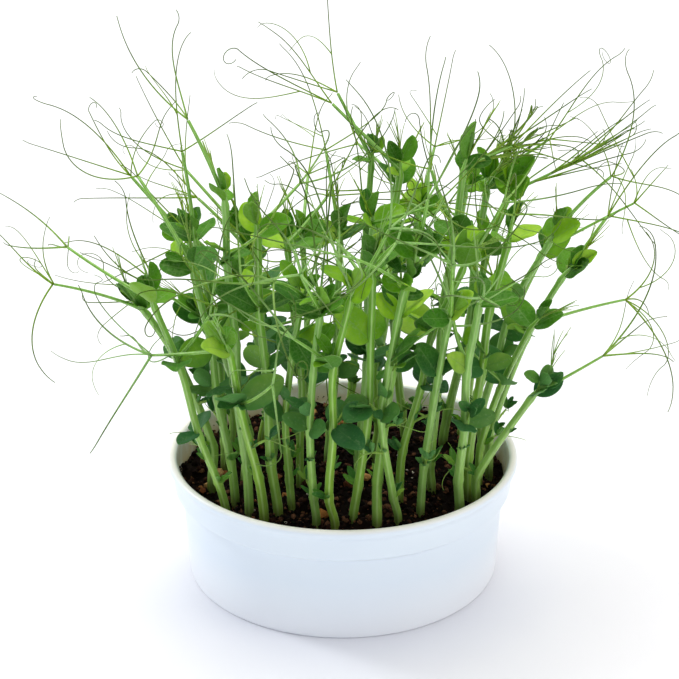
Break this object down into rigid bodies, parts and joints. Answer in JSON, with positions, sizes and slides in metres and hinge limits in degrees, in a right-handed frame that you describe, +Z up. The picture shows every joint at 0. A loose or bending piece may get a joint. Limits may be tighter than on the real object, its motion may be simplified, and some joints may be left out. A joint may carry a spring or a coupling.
{
  "type": "pea shoot microgreens tray",
  "caption": "Round white tub of dark potting mix with a crowd of leafy green pea shoots and curling tendrils.",
  "frame": {"origin": "centre of the tub's flat underside, on its axis", "axes": "+Z up along the tub's axis; -Y is the front, the side that most stipules turn to, and +X is to the right of it"},
  "size_m": [0.2605, 0.2414, 0.2271],
  "materials": {
    "tub": "moulded white plastic, softly glossy",
    "potting_mix": "moist dark potting mix with vermiculite, bark and perlite bits",
    "shoots": "fresh green pea stems, stipules and tendrils with a thin waxy bloom"
  },
  "bodies": {
    "root": {"tub": "tub", "potting_mix": "potting_mix", "shoot_01": "shoots", "shoot_02": "shoots", "shoot_03": "shoots", "shoot_04": "shoots", "shoot_05": "shoots", "shoot_06": "shoots", "shoot_07": "shoots", "shoot_08": "shoots", "shoot_09": "shoots", "shoot_10": "shoots", "shoot_11": "shoots", "shoot_12": "shoots", "shoot_13": "shoots", "shoot_14": "shoots", "shoot_15": "shoots", "shoot_16": "shoots", "shoot_17": "shoots", "shoot_18": "shoots", "shoot_19": "shoots", "shoot_20": "shoots", "shoot_21": "shoots", "shoot_22": "shoots", "shoot_23": "shoots", "shoot_24": "shoots", "shoot_25": "shoots", "shoot_26": "shoots", "shoot_27": "shoots", "shoot_28": "shoots", "shoot_29": "shoots", "shoot_30": "shoots", "shoot_31": "shoots", "shoot_32": "shoots", "shoot_33": "shoots", "shoot_34": "shoots", "shoot_35": "shoots", "shoot_36": "shoots", "shoot_37": "shoots", "shoot_38": "shoots", "shoot_39": "shoots"}
  },
  "joints": []
}
